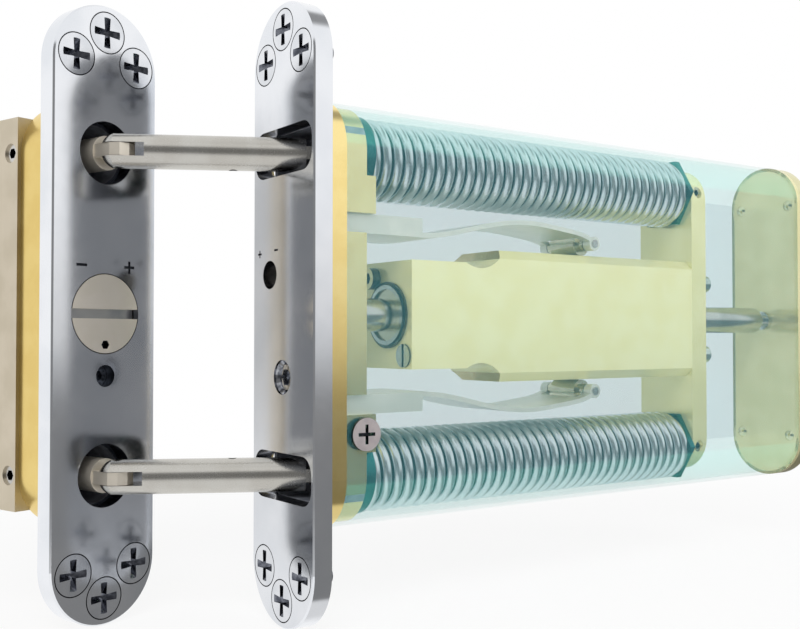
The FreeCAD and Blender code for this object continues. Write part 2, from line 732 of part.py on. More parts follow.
def fork_end(radius, length, floor):
    stem = rod_x(radius, 0.0, length)
    cheek = rod_z(radius, -radius, radius, 0.0, 0.0)
    ball = cheek.common(rod_x(radius, -radius - cut, radius + cut)).common(Part.makeSphere(radius + fork_crown))
    whole = stem.fuse(ball)
    whole = whole.cut(box(-radius - cut, floor, -radius - cut, radius + cut,
                          -0.5 * fork_slot, 0.5 * fork_slot))
    return whole.cut(rod_z(pin_hole, -radius - cut, radius + cut, 0.0, 0.0))

# The tongue has a faceted eye with flats in line with its sides
def tongue_end(radius, length, shoulder):
    stem = rod_x(radius, shoulder, length)
    eye_size = radius - tongue_inset
    side = eye_size * math.cos(math.pi / tongue_sides)
    blade = box(0.0, shoulder + cut, -side, side, -tongue_half, tongue_half)
    blade = blade.fuse(prism_z(polygon(tongue_sides, eye_size, 0.0, 0.0), -tongue_half, tongue_half))
    whole = stem.fuse(blade.common(rod_x(radius, -radius, length)))
    return whole.cut(rod_z(pin_hole + pivot_play, -radius - cut, radius + cut, 0.0, 0.0))

# A pivot pin that ends just inside a rod of the given radius
def pivot(radius):
    return rod_z(pin_hole, -radius + pivot_pin_inset, radius - pivot_pin_inset, 0.0, 0.0)

tie_rod = fork_end(tie_radius, crosshead_rear - inner_pivot_x, arm_radius + shoulder_gap + cut)
tie_rod = placed(at_height(tie_rod, arm_height), 0.0, inner_pivot_x, 0.0)
inner_pin = placed(at_height(pivot(tie_radius), arm_height), 0.0, inner_pivot_x, 0.0)
parts["upper_tie_rod"] = tie_rod
parts["lower_tie_rod"] = mirrored(tie_rod)
parts["inner_pivot_pins"] = group([inner_pin, mirrored(inner_pin)])

# Arms: drawn along +X from the outer pivot with the fork there, the tongue at the inner pivot
reach_x = inner_pivot_x - outer_pivot_x
arm_length = math.hypot(reach_x, outer_pivot_y)
arm_angle = math.degrees(math.atan2(outer_pivot_y, reach_x))
inner_shoulder = tie_radius + shoulder_gap
arm = fork_end(arm_radius, arm_length - inner_shoulder, fork_floor)
far_end = tongue_end(arm_radius, 0.5 * arm_length, inner_shoulder)
far_end.rotate(FreeCAD.Vector(0, 0, 0), FreeCAD.Vector(0, 0, 1), 180.0)
far_end.translate(FreeCAD.Vector(arm_length, 0, 0))
arm = arm.fuse(far_end).removeSplitter()
arm = arm.cut(rod_z(0.5 * arm_hole, -arm_radius - cut, 0.0, arm_hole_reach, 0.0))
parts["upper_arm"] = placed(at_height(arm, arm_height), -arm_angle, outer_pivot_x, outer_pivot_y)
parts["lower_arm"] = mirrored(parts["upper_arm"])
parts["upper_fork_pin"] = placed(at_height(pivot(arm_radius), arm_height), 0.0, outer_pivot_x, outer_pivot_y)
parts["lower_fork_pin"] = mirrored(parts["upper_fork_pin"])

# Jamb unit: drawn with its face at x = 0 looking along +X, then turned to the open door angle
turn = math.radians(door_angle)
jamb_x = outer_pivot_x - outer_pivot_proud * math.cos(turn)
jamb_y = outer_pivot_y + outer_pivot_proud * math.sin(turn)

def in_jamb(shape):
    return placed(shape, -door_angle, jamb_x, jamb_y)

def facing(shape):
    return placed(shape, 180.0, 0.0, 0.0)

adjuster_hole = 0.5 * adjuster_diameter + adjuster_gap
lock_z = -adjuster_hole - lock_drop
mark_z = adjuster_hole + jamb_mark_rise
link_holes = [plate_hole(link_hole, 0.0, up * arm_height) for up in both]
jamb_plate = without(plate_blank(), link_holes + [
    plate_hole(2.0 * adjuster_hole, 0.0, 0.0),
    plate_hole(lock_hole, 0.0, lock_z),
    minus_mark(jamb_mark_side, mark_z, mark_length, mark_width),
    plus_mark(-jamb_mark_side, mark_z, mark_length, mark_width)])
parts["jamb_face_plate"] = in_jamb(facing(jamb_plate))
parts["jamb_plate_screws"] = in_jamb(facing(plate_screws()))

# Spacer behind the jamb plate, with holes for the links, the adjuster's stem and the lock screw
spacer_back = -plate_thickness - spacer_depth
stem_radius = 0.5 * adjuster_stem
lock_thread = rod_x(0.5 * lock_shank, -plate_thickness - lock_depth, -plate_thickness, 0.0, lock_z)
spacer_holes = [rod_x(0.5 * link_hole - spacer_hole_step, spacer_back - cut, -plate_thickness + cut,
                      0.0, up * arm_height) for up in both]
spacer = oval_x(body_radius + spacer_rim, arm_height, spacer_back, -plate_thickness)
parts["jamb_spacer"] = in_jamb(without(spacer, spacer_holes + [
    rod_x(stem_radius + running, spacer_back - cut, -plate_thickness + cut), lock_thread]))
lock_face = -plate_thickness + lock_head
lock_screw = rod_x(0.5 * lock_hole - running, -plate_thickness, lock_face, 0.0, lock_z).fuse(lock_thread)
lock_screw = lock_screw.cut(hex_x(lock_key, lock_face - lock_key_depth, lock_face + cut, 0.0, lock_z))
parts["adjuster_lock_screw"] = in_jamb(lock_screw.removeSplitter())

# Latching adjuster: a slotted disc flush with the plate, with a stem through the spacer and a grub screw
stem_end = spacer_back - adjuster_reach
grub_start = -plate_thickness + grub_floor
grub_z = grub_rim + 0.5 * (grub_diameter - adjuster_diameter)
adjuster = joined([rod_x(0.5 * adjuster_diameter, -plate_thickness + free_gap, 0.0),
                   rod_x(stem_radius, stem_end, -plate_thickness + free_gap)])
adjuster = adjuster.cut(box(-adjuster_slot_depth, cut, -adjuster_diameter, adjuster_diameter,
                            -0.5 * adjuster_slot, 0.5 * adjuster_slot))
adjuster = adjuster.cut(rod_x(0.5 * grub_diameter, grub_start, cut, 0.0, grub_z))
parts["latching_adjuster"] = in_jamb(adjuster)
adjuster_grub = rod_x(0.5 * grub_diameter, grub_start, -grub_sink, 0.0, grub_z)
adjuster_grub = adjuster_grub.cut(hex_x(grub_key, -grub_sink - grub_key_depth, cut, 0.0, grub_z))
parts["adjuster_grub_screw"] = in_jamb(adjuster_grub)

# Anchor: a square cornered body behind the spacer, holding both links with side grub screws
anchor_back = spacer_back - anchor_depth
anchor_half_width = body_radius + anchor_side
anchor_half_height = arm_height + anchor_end
anchor_grub_n = spacer_back - anchor_grub_depth
anchor_grub_face = -anchor_half_width + anchor_grub_sink
link_bore = rod_x(arm_radius, outer_pivot_proud - link_end, spacer_back + cut, 0.0, arm_height)
side_bore = rod_y(0.5 * anchor_grub, -anchor_half_width - cut, -arm_radius + anchor_grub_sink,
                  anchor_grub_n, arm_height)
anchor = box(anchor_back, spacer_back, -anchor_half_width, anchor_half_width,
             -anchor_half_height, anchor_half_height)
parts["anchor_body"] = in_jamb(without(anchor, [
    link_bore, mirrored(link_bore), side_bore, mirrored(side_bore),
    rod_x(stem_radius + running, stem_end - free_gap, spacer_back + cut)]))
anchor_screw = rod_y(0.5 * anchor_grub, anchor_grub_face, -arm_radius, anchor_grub_n, arm_height)
anchor_screw = anchor_screw.cut(prism_y(hexagon(anchor_grub_key, anchor_grub_n, arm_height),
                                        anchor_grub_face - cut, anchor_grub_face + anchor_grub_key_depth))
parts["anchor_grub_screws"] = in_jamb(group([anchor_screw, mirrored(anchor_screw)]))
link = tongue_end(arm_radius, link_end, arm_radius + shoulder_gap)
link = placed(link, 180.0, outer_pivot_proud, 0.0)
parts["upper_link"] = in_jamb(at_height(link, arm_height))
parts["lower_link"] = mirrored(parts["upper_link"])

for name in sorted(parts):
    shape = parts[name]
    shape.exportStep("parts/" + name + ".step")
    size = shape.BoundBox
    print(name, len(shape.Solids), "valid" if shape.isValid() else "INVALID",
          round(size.XMin, 1), round(size.XMax, 1), round(size.YMin, 1), round(size.YMax, 1),
          round(size.ZMin, 1), round(size.ZMax, 1))
print("arm length", round(arm_length, 3), "arm angle", round(arm_angle, 3),
      "jamb origin", round(jamb_x, 3), round(jamb_y, 3), "nodes", len(parts))
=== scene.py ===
import json
import math

import bmesh
import bpy
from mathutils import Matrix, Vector


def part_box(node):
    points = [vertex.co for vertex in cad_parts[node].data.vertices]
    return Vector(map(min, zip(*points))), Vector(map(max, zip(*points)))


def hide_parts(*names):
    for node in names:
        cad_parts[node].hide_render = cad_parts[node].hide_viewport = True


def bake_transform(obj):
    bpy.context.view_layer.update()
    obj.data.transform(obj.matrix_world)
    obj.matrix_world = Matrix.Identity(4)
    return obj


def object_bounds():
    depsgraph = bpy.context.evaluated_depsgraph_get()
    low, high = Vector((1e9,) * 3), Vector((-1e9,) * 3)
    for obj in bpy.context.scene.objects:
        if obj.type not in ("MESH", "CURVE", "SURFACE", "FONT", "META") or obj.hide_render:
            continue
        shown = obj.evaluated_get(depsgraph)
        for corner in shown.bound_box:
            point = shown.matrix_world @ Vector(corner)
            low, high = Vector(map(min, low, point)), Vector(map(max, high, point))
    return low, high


# Concealed door closer, dressed for the photograph. Everything is in metres, in the frame of the CAD model.
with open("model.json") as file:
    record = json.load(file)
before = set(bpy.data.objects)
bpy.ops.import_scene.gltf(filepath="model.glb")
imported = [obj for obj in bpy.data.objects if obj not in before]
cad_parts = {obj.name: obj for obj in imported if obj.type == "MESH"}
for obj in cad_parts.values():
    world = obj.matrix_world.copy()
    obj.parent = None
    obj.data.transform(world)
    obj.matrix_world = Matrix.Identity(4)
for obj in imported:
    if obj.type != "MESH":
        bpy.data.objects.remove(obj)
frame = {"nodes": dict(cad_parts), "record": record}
cad_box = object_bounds()
nodes = frame["nodes"]
scene = bpy.context.scene
scene.view_settings.view_transform = "Standard"
mm = 0.001


# Colours are written as they look on screen, from 0 to 255
def linear(level):
    share = level / 255.0
    return share / 12.92 if share <= 0.04045 else ((share + 0.055) / 1.055) ** 2.4


def screen(red, green, blue):
    return (linear(red), linear(green), linear(blue), 1.0)


# Sizes of the surface detail that most metals share
cloud_size = 9.0 * mm
grain_size = 0.5 * mm
bump_height = 0.01 * mm
even = (1.0, 1.0, 1.0)
along_x = (0.1, 1.0, 1.0)
unturned = (0.0, 0.0, 0.0)
origin = (0.0, 0.0, 0.0)


# Node building blocks, shared by materials and the world
class Nodes:
    def __init__(self, tree):
        self.tree = tree

    def node(self, kind, **settings):
        made = self.tree.nodes.new("ShaderNode" + kind)
        for key, value in settings.items():
            setattr(made, key, value)
        return made

    def link(self, source, target):
        self.tree.links.new(source, target)

    def math(self, operation, first, second):
        result = self.node("Math", operation=operation)
        for socket, value in zip(result.inputs, (first, second)):
            if isinstance(value, float):
                socket.default_value = value
            else:
                self.link(value, socket)
        return result.outputs["Value"]

    # Object coordinates, which are the shared frame at rest, scaled along each axis and turned
    def place(self, scale, turn):
        coordinates = self.node("TexCoord")
        mapping = self.node("Mapping")
        mapping.inputs["Scale"].default_value = scale
        mapping.inputs["Rotation"].default_value = turn
        self.link(coordinates.outputs["Object"], mapping.inputs["Vector"])
        return mapping.outputs["Vector"]

    def noise(self, size, detail=3.0, stretch=even, turn=unturned):
        texture = self.node("TexNoise")
        texture.inputs["Scale"].default_value = 1.0 / size
        texture.inputs["Detail"].default_value = detail
        self.link(self.place(stretch, turn), texture.inputs["Vector"])
        return texture.outputs["Fac"]

    def ramp(self, value, low, high, to_low=0.0, to_high=1.0):
        mapped = self.node("MapRange", interpolation_type="SMOOTHSTEP")
        mapped.inputs["From Min"].default_value = low
        mapped.inputs["From Max"].default_value = high
        mapped.inputs["To Min"].default_value = to_low
        mapped.inputs["To Max"].default_value = to_high
        self.link(value, mapped.inputs["Value"])
        return mapped.outputs["Result"]

    # How far a point lies along a direction from a place, in metres
    def along(self, place, direction):
        coordinates = self.node("TexCoord")
        offset = self.node("VectorMath", operation="SUBTRACT")
        offset.inputs[1].default_value = place
        self.link(coordinates.outputs["Object"], offset.inputs[0])
        dot = self.node("VectorMath", operation="DOT_PRODUCT")
        dot.inputs[1].default_value = direction
        self.link(offset.outputs["Vector"], dot.inputs[0])
        return dot.outputs["Value"]

    def mix(self, share, first, second):
        mixed = self.node("Mix", data_type="RGBA")
        self.link(share, mixed.inputs["Factor"])
        for socket, colour in ((mixed.inputs[6], first), (mixed.inputs[7], second)):
            if isinstance(colour, tuple):
                socket.default_value = colour
            else:
                self.link(colour, socket)
        return mixed.outputs[2]

    def bump(self, height, strength):
        relief = self.node("Bump")
        relief.inputs["Strength"].default_value = strength
        relief.inputs["Distance"].default_value = bump_height
        self.link(height, relief.inputs["Height"])
        return relief.outputs["Normal"]


class Material(Nodes):
    def __init__(self, name):
        self.material = bpy.data.materials.new(name)
        self.material.use_nodes = True
        super().__init__(self.material.node_tree)
        self.tree.nodes.clear()
        self.output = self.tree.nodes.new("ShaderNodeOutputMaterial")

    def surface(self, colour, roughness, metallic=1.0, normal=None, **constants):
        shader = self.node("BsdfPrincipled")
        shader.inputs["Metallic"].default_value = metallic
        for socket, value in (("Base Color", colour), ("Roughness", roughness)):
            if isinstance(value, (tuple, float)):
                shader.inputs[socket].default_value = value
            else:
                self.link(value, shader.inputs[socket])
        if normal is not None:
            self.link(normal, shader.inputs["Normal"])
        for key, value in constants.items():
            shader.inputs[key].default_value = value
        self.link(shader.outputs["BSDF"], self.output.inputs["Surface"])
        return self.material


# Two tones in soft clouds
def cloudy(m, light, dark, size):
    return m.mix(m.ramp(m.noise(size, 4.0), 0.35, 0.65), dark, light)


# Roughness that wanders with the grain
def uneven(m, fine, rough, spread):
    return m.ramp(fine, 0.3, 0.7, rough - spread, rough + spread)


# A metal with faintly cloudy colour, uneven polish and fine grain. A lean tilts its reflections a little.
def metal(name, light, dark, rough, cloud=cloud_size, grain=grain_size, stretch=even, turn=unturned,
          relief=0.001, spread=0.008, lean=None, **constants):
    m = Material(name)
    colour = cloudy(m, light, dark, cloud)
    fine = m.noise(grain, 3.0, stretch, turn)
    normal = m.bump(fine, relief)
    if lean is not None:
        tilted = m.node("VectorMath", operation="ADD")
        tilted.inputs[1].default_value = lean
        m.link(normal, tilted.inputs[0])
        normal = tilted.outputs["Vector"]
    return m.surface(colour, uneven(m, fine, rough, spread), normal=normal, **constants)


# Steel that is bright outside the springs and painted dark teal as shade where it runs inside their turns
def shaded_rod(name, light, dark, rough, low, high):
    m = Material(name)
    fine = m.noise(grain_size, 3.0, along_x)
    run = m.along(origin, (1.0, 0.0, 0.0))
    fade = 0.5 * mm
    inside = m.math("MULTIPLY", m.ramp(run, low, low + fade), m.ramp(run, high - fade, high, 1.0, 0.0))
    colour = m.mix(inside, light, dark)
    return m.surface(colour, uneven(m, fine, rough, 0.04), normal=m.bump(fine, 0.02))


# The jamb's own directions: out of its face, into the wall, and across the plate
joints = {joint["name"]: joint for joint in frame["record"]["behaviour"]["joints"]}
jamb_outward = Vector(joints["jamb_slide"]["axis"]).normalized()
jamb_face = Vector(joints["latching_adjuster_turn"]["pos_m"])
jamb_inward = -jamb_outward
jamb_across = Vector((-jamb_outward.y, jamb_outward.x, 0.0))
arm_height = 0.5 * (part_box("upper_tie_rod")[0][2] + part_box("upper_tie_rod")[1][2])
springs_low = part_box("front_spring_seats")[0][0]
springs_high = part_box("rear_spring_seats")[1][0]

# Chromed plates and screws, and the painted shade of their recesses and pits
plate_light = screen(238, 240, 244)
plate_dark = screen(229, 232, 237)
plate_cloud = 17.0 * mm
plate_grain = 2.4 * mm
jamb_lean = 0.0385
plate_chrome = metal("plate_chrome", plate_light, plate_dark, 0.12, plate_cloud, plate_grain, relief=0.002)
jamb_chrome = metal("jamb_plate_chrome", plate_light, plate_dark, 0.12, plate_cloud, plate_grain,
                    relief=0.002, lean=tuple(-jamb_lean * jamb_across))
# Darker chrome painted as shade on the walls of the plates' holes and slots
hole_chrome_painted_shade = metal("hole_chrome_painted_shade", screen(150, 152, 158), screen(122, 125, 132), 0.2)
screw_chrome = metal("screw_chrome", screen(234, 236, 240), screen(222, 225, 230), 0.14, 6.0 * mm,
                     relief=0.005)
# Painted shade inside the plate screws' recesses
recess_painted_shade = metal("recess_painted_shade", screen(124, 127, 136), screen(84, 87, 96), 0.24, 1.2 * mm)
# Painted shade for grooves: engraved marks, screw rims, the adjuster's rim, sockets and cross recesses
groove_painted_shade = metal("groove_painted_shade", screen(66, 68, 75), screen(46, 48, 54), 0.4, 1.2 * mm)
# Painted shade for pits, funnels and link holes, and a dull grey that stands in for the shaded key passage
pit_painted_shade = metal("pit_painted_shade", screen(150, 154, 164), screen(126, 130, 140), 0.36, 3.0 * mm, metallic=0.15)
key_way_painted_shade = metal("key_way_painted_shade", screen(228, 222, 212), screen(176, 170, 162), 0.4, 1.5 * mm, metallic=0.1)
# The sunk centre screw mixes bright chrome with darker clouds of painted shade, and its well is painted
# darker as shade
fixing_chrome = metal("fixing_chrome", screen(216, 218, 223), screen(120, 123, 130), 0.08, 1.2 * mm)
fixing_well_painted_shade = metal("fixing_well_painted_shade", screen(176, 178, 184), screen(96, 99, 106), 0.1, 1.6 * mm)
casing_zinc = metal("casing_screw_zinc", screen(246, 236, 236), screen(232, 222, 224), 0.36, 3.0 * mm)
# The adjuster's slot floor is painted greyer as shade
adjuster_slot_painted_shade = metal("adjuster_slot_floor_painted_shade", screen(206, 206, 204), screen(176, 178, 182), 0.32)

# Brass and castings
brass = metal("block_brass", screen(254, 232, 162), screen(249, 224, 150), 0.15)
cap_brass = metal("cap_brass", screen(232, 228, 186), screen(222, 216, 170), 0.3)
core_metal = metal("block_core", screen(248, 238, 178), screen(242, 230, 168), 0.16)
end_metal = metal("end_plate_metal", screen(232, 226, 178), screen(224, 218, 168), 0.14, metallic=0.55)
rivet_metal = metal("rivet_metal", screen(226, 224, 184), screen(206, 204, 162), 0.16)
cast_grain = 1.1 * mm
cast = metal("cylinder_cast", screen(255, 250, 196), screen(252, 245, 186), 0.2, grain=cast_grain,
             metallic=0.35)
cross_cast = metal("crosshead_cast", screen(250, 244, 188), screen(244, 238, 178), 0.2, grain=cast_grain,
                   metallic=0.5)
# Painted shade for the scoop's faces: lighter where they turn forward, dark teal where they turn back
scoop_painted_half_shade = metal("scoop_painted_half_shade", screen(206, 190, 140), screen(188, 172, 122), 0.26)
scoop_shade = metal("scoop_shade", screen(44, 88, 90), screen(26, 66, 70), 0.3)
# Painted shade for the sides and recessed faces of the small parts on the cylinder's front
ring_shade = metal("gland_ring_painted_shade", screen(104, 104, 82), screen(74, 76, 60), 0.3, 1.5 * mm)

# Rods, springs and small steel parts
rod_light = screen(208, 209, 203)
steel = metal("rod_steel", rod_light, screen(192, 194, 188), 0.2, stretch=along_x)
# The tie rods are painted dark teal as shade inside the springs
tie_steel = shaded_rod("tie_rod_steel", rod_light, screen(30, 84, 86), 0.24, springs_low, springs_high)
spring_steel = metal("spring_steel", screen(228, 234, 236), screen(218, 225, 228), 0.25)
# Painted shade for the inner side of the spring wire
coil_shade = metal("coil_painted_shade", screen(24, 68, 70), screen(12, 50, 52), 0.4)
seat_steel = metal("seat_steel", screen(52, 124, 122), screen(36, 100, 100), 0.3)
leaf_steel = metal("leaf_steel", screen(238, 238, 226), screen(226, 228, 216), 0.3, metallic=0.55)
roller_steel = metal("roller_steel", screen(216, 212, 184), screen(198, 194, 164), 0.2)
gland_steel = metal("gland_steel", screen(214, 222, 216), screen(196, 206, 200), 0.2)
washer_steel = metal("gland_washer_steel", screen(226, 226, 200), screen(212, 212, 186), 0.24)
arm_run_x = 46.4 * mm
arm_run_y = 24.1 * mm
arm_turn = math.atan2(arm_run_y, arm_run_x)
nickel = metal("arm_nickel", screen(200, 198, 192), screen(193, 190, 183), 0.27, grain=0.35 * mm,
               stretch=(0.06, 1.0, 1.0), turn=(0.0, 0.0, arm_turn), relief=0.0, spread=0.004)
pin_steel = metal("pin_steel", screen(208, 206, 202), screen(190, 188, 184), 0.22)
link_nickel = metal("link_nickel", screen(226, 218, 204), screen(217, 209, 195), 0.3, metallic=0.65)
turned_nickel = metal("adjuster_nickel", screen(252, 243, 229), screen(247, 238, 222), 0.3, metallic=0.86)
# Painted shade inside the sockets of the grub screws
socket_painted_shade = metal("grub_dark", screen(70, 66, 62), screen(44, 42, 40), 0.4)
lock_grey = metal("lock_screw_grey", screen(116, 122, 132), screen(62, 66, 74), 0.4, 0.9 * mm)
piston_steel = metal("piston_steel", screen(190, 192, 194), screen(160, 162, 166), 0.25)
rubber = metal("seal_rubber", screen(52, 52, 52), screen(36, 36, 36), 0.6, metallic=0.0)

# The front of the spacer and the anchor is painted dark as shade where the link holes of the plate show it
link_hole_radius = 8.4 * mm
spacer_shade_depth = 5.6 * mm
anchor_shade_depth = 17.2 * mm


def link_hole_shade_mask(m):
    aside = m.along(jamb_face, jamb_across)
    height = m.math("ABSOLUTE", m.along(origin, (0.0, 0.0, 1.0)), 0.0)
    rise = m.math("SUBTRACT", height, arm_height)
    square = m.math("ADD", m.math("MULTIPLY", aside, aside), m.math("MULTIPLY", rise, rise))
    return m.ramp(m.math("SQRT", square, 0.0), link_hole_radius, link_hole_radius + 0.05 * mm, 1.0, 0.0)


def metal_with_hole_shade(name, light, dark, rough, depth):
    m = Material(name)
    fine = m.noise(grain_size, 3.0)
    # Painted shade in the link holes
    at_front = m.ramp(m.along(jamb_face, jamb_inward), depth, depth + 0.1 * mm, 1.0, 0.0)
    painted_hole_shade = m.math("MULTIPLY", at_front, link_hole_shade_mask(m))
    colour = m.mix(painted_hole_shade, cloudy(m, light, dark, cloud_size), screen(60, 62, 69))
    return m.surface(colour, uneven(m, fine, rough, 0.006), normal=m.bump(fine, 0.0005))


spacer_brass = metal_with_hole_shade("spacer_brass", screen(238, 211, 134), screen(232, 203, 124), 0.28,
                           spacer_shade_depth)
anchor_paint = metal_with_hole_shade("anchor_metal", screen(214, 203, 183), screen(205, 194, 173), 0.36,
                           anchor_shade_depth)


# Clear casing: tinted flat sides, the far one denser, which paints shade, and lighter rounded edges, a
# painted sheen
def clear(name, light, dark, alpha):
    m = Material(name)
    clouds = m.ramp(m.noise(22.0 * mm, 2.0), 0.3, 0.7)
    polish = uneven(m, m.noise(30.0 * mm, 2.0), 0.05, 0.02)
    return m.surface(m.mix(clouds, dark, light), polish, metallic=0.0, Alpha=alpha, IOR=1.45)


side_light = screen(112, 188, 198)
side_dark = screen(104, 182, 192)
clear_near = clear("casing_clear_near_side", side_light, side_dark, 0.1)
clear_far_painted_shade = clear("casing_clear_far_side_painted_shade", side_light, side_dark, 0.19)
clear_edge_painted_sheen = clear("casing_clear_edge_painted_sheen", screen(128, 236, 228), screen(118, 228, 222), 0.12)

paint = {
    "door_face_plate": plate_chrome, "jamb_face_plate": jamb_chrome,
    "door_plate_screws": screw_chrome, "jamb_plate_screws": screw_chrome,
    "centre_fixing_screw": fixing_chrome, "casing_screws": casing_zinc,
    "front_block": brass, "end_cap": cap_brass, "end_plate": end_metal, "end_rivets": rivet_metal,
    "casing": clear_near, "front_spring_seats": seat_steel, "rear_spring_seats": seat_steel,
    "piston_rod": steel, "rod_collar": steel, "upper_tie_rod": tie_steel, "lower_tie_rod": tie_steel,
    "piston": piston_steel, "piston_seal": rubber,
    "upper_leaf_spring": leaf_steel, "lower_leaf_spring": leaf_steel,
    "upper_roller": roller_steel, "lower_roller": roller_steel, "roller_pins": pin_steel,
    "upper_front_spring": spring_steel, "upper_rear_spring": spring_steel,
    "lower_front_spring": spring_steel, "lower_rear_spring": spring_steel,
    "cylinder_block": cast, "crosshead": cross_cast,
    "front_gland_ring": gland_steel, "front_gland_washer": washer_steel, "rear_gland_ring": gland_steel,
    "speed_valve": cast, "front_plug": gland_steel, "crosshead_screws": gland_steel,
    "crosshead_grub_screws": roller_steel, "anchor_grub_screws": pin_steel, "adjuster_lock_screw": lock_grey,
    "adjuster_grub_screw": turned_nickel,
    "inner_pivot_pins": pin_steel, "upper_fork_pin": pin_steel, "lower_fork_pin": pin_steel,
    "upper_arm": nickel, "lower_arm": nickel, "upper_link": link_nickel, "lower_link": link_nickel,
    "anchor_body": anchor_paint, "jamb_spacer": spacer_brass, "latching_adjuster": turned_nickel,
}
for name, thing in nodes.items():
    thing.data.materials.clear()
    thing.data.materials.append(paint[name])


# Give the faces of a node that pass a test another material
def face_paint(name, material, test):
    thing = nodes[name]
    slot = len(thing.data.materials)
    thing.data.materials.append(material)
    for face in thing.data.polygons:
        if test(face.center, face.normal):
            face.material_index = slot


# Where a point lies in a plate: how deep behind its face, and how far from the middle line of the oval
plate_low, plate_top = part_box("door_face_plate")
plate_half_width = 0.5 * (plate_top[1] - plate_low[1])
oval_middle = 0.5 * (plate_top[2] - plate_low[2]) - plate_half_width


def door_depth(point):
    return point.x


def jamb_depth(point):
    return (point - jamb_face).dot(jamb_inward)


def jamb_aside(point):
    return (point - jamb_face).dot(jamb_across)


def door_oval(point):
    return math.hypot(point.y, max(0.0, abs(point.z) - oval_middle))


def jamb_oval(point):
    return math.hypot(jamb_aside(point), max(0.0, abs(point.z) - oval_middle))


# Engraved marks and screw rims lie between the skin and the shallow depth, holes and slots below it. Both are
# painted darker as shade.
skin = 0.02 * mm
shallow = 0.62 * mm
back = 5.2 * mm
inner_edge = plate_half_width - 0.8 * mm
for side, depth, oval in (("door", door_depth, door_oval), ("jamb", jamb_depth, jamb_oval)):
    plate = side + "_face_plate"
    face_paint(plate, groove_painted_shade, lambda c, n: oval(c) < inner_edge and skin < depth(c) < shallow)
    face_paint(plate, hole_chrome_painted_shade, lambda c, n: oval(c) < inner_edge and shallow <= depth(c) < back)
    # The screws' recesses are painted darker as shade
    face_paint(side + "_plate_screws", recess_painted_shade, lambda c, n: depth(c) > skin)

fixing_z = 0.5 * (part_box("centre_fixing_screw")[0][2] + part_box("centre_fixing_screw")[1][2])
fixing_radius = 4.6 * mm
# The well round the centre screw is painted darker as shade
face_paint("door_face_plate", fixing_well_painted_shade,
           lambda c, n: skin < c.x < back and math.hypot(c.y, c.z - fixing_z) < fixing_radius)

# The front block: its front face and funnels painted dark grey as shade, and its key passage a dull grey that
# stands in for shade
valve_low, valve_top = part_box("speed_valve")
key_y = 0.5 * (valve_low[1] + valve_top[1])
key_z = 0.5 * (valve_low[2] + valve_top[2])
key_way_radius = 4.0 * mm
funnel_half = 6.3 * mm
funnel_side = 12.1 * mm


def in_funnel(point, normal):
    near_arm = abs(abs(point.z) - arm_height) < funnel_half and abs(point.y) < funnel_side
    return abs(normal.x) < 0.5 and near_arm


def in_key_way(point, normal):
    return abs(normal.x) < 0.5 and math.hypot(point.y - key_y, point.z - key_z) < key_way_radius


block_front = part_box("front_block")[0][0]
casing_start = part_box("casing")[0][0]
face_paint("front_block", core_metal, lambda c, n: c.x > casing_start + skin)
face_paint("front_block", pit_painted_shade, lambda c, n: c.x < block_front + skin or in_funnel(c, n))
face_paint("front_block", key_way_painted_shade, in_key_way)

# Link holes in the spacer, the adjuster's rim and slot, and the sockets of small screws, all painted darker
# as shade
spacer_bore = 8.3 * mm
slot_floor_low = 2.0 * mm
slot_floor_high = 2.4 * mm
adjuster_rim = 9.9 * mm
adjuster_grub_face = 0.2 * mm


def in_link_hole(point, normal):
    return math.hypot(jamb_aside(point), abs(point.z) - arm_height) < spacer_bore


face_paint("jamb_spacer", pit_painted_shade, in_link_hole)
face_paint("latching_adjuster", adjuster_slot_painted_shade, lambda c, n: slot_floor_low < jamb_depth(c) < slot_floor_high)
face_paint("latching_adjuster", groove_painted_shade,
           lambda c, n: jamb_depth(c) > skin and math.hypot(jamb_aside(c), c.z) > adjuster_rim)
face_paint("adjuster_grub_screw", groove_painted_shade, lambda c, n: jamb_depth(c) > adjuster_grub_face)
grub_sides = [jamb_aside(vertex.co) for vertex in nodes["anchor_grub_screws"].data.vertices]
grub_far = min(grub_sides)
grub_near = max(grub_sides)
face_paint("anchor_grub_screws", socket_painted_shade, lambda c, n: grub_far + skin < jamb_aside(c) < grub_near - skin)
cross_low, cross_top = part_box("crosshead_grub_screws")
face_paint("crosshead_grub_screws", socket_painted_shade, lambda c, n: cross_low[1] + skin < c.y < cross_top[1] - skin)
casing_low, casing_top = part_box("casing_screws")
face_paint("casing_screws", groove_painted_shade, lambda c, n: casing_low[1] + skin < c.y < casing_top[1] - skin)
# The casing's far side is denser as painted shade, and its rounded faces are lighter as a painted sheen
face_paint("casing", clear_far_painted_shade, lambda c, n: c.y > 0.0)
face_paint("casing", clear_edge_painted_sheen, lambda c, n: abs(n.y) < 0.995)

# The concave steps of the cylinder, painted by facing as shade: darker on faces turned forward, dark teal on
# faces turned back; and the sides and sockets of the small parts on its front, painted darker as shade
scoop_low = 16.0 * mm
face_paint("cylinder_block", scoop_painted_half_shade,
           lambda c, n: abs(c.z) > scoop_low and n.x < -0.15 and abs(n.z) > 0.15)
face_paint("cylinder_block", scoop_shade,
           lambda c, n: abs(c.z) > scoop_low and n.x > 0.08 and abs(n.z) > 0.15)
gland_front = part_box("front_gland_ring")[0][0]
gland_step = 0.3 * mm
face_paint("front_gland_ring", ring_shade, lambda c, n: abs(n.x) < 0.5 or c.x > gland_front + gland_step)
valve_front = valve_low[0]
face_paint("speed_valve", ring_shade, lambda c, n: c.x > valve_front + skin)
plug_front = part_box("front_plug")[0][0]
face_paint("front_plug", ring_shade, lambda c, n: c.x > plug_front + skin)


# Coil springs: a helix of round wire with ground ends, in place of each spring of half rings. The helix runs
# part of a turn past each end and is cut flat there. The side of the wire that faces the middle is painted
# dark as shade.
wire = 2.8 * mm
turn_steps = 48
wire_steps = 16
tail = 0.42
shade_edge = 0.1


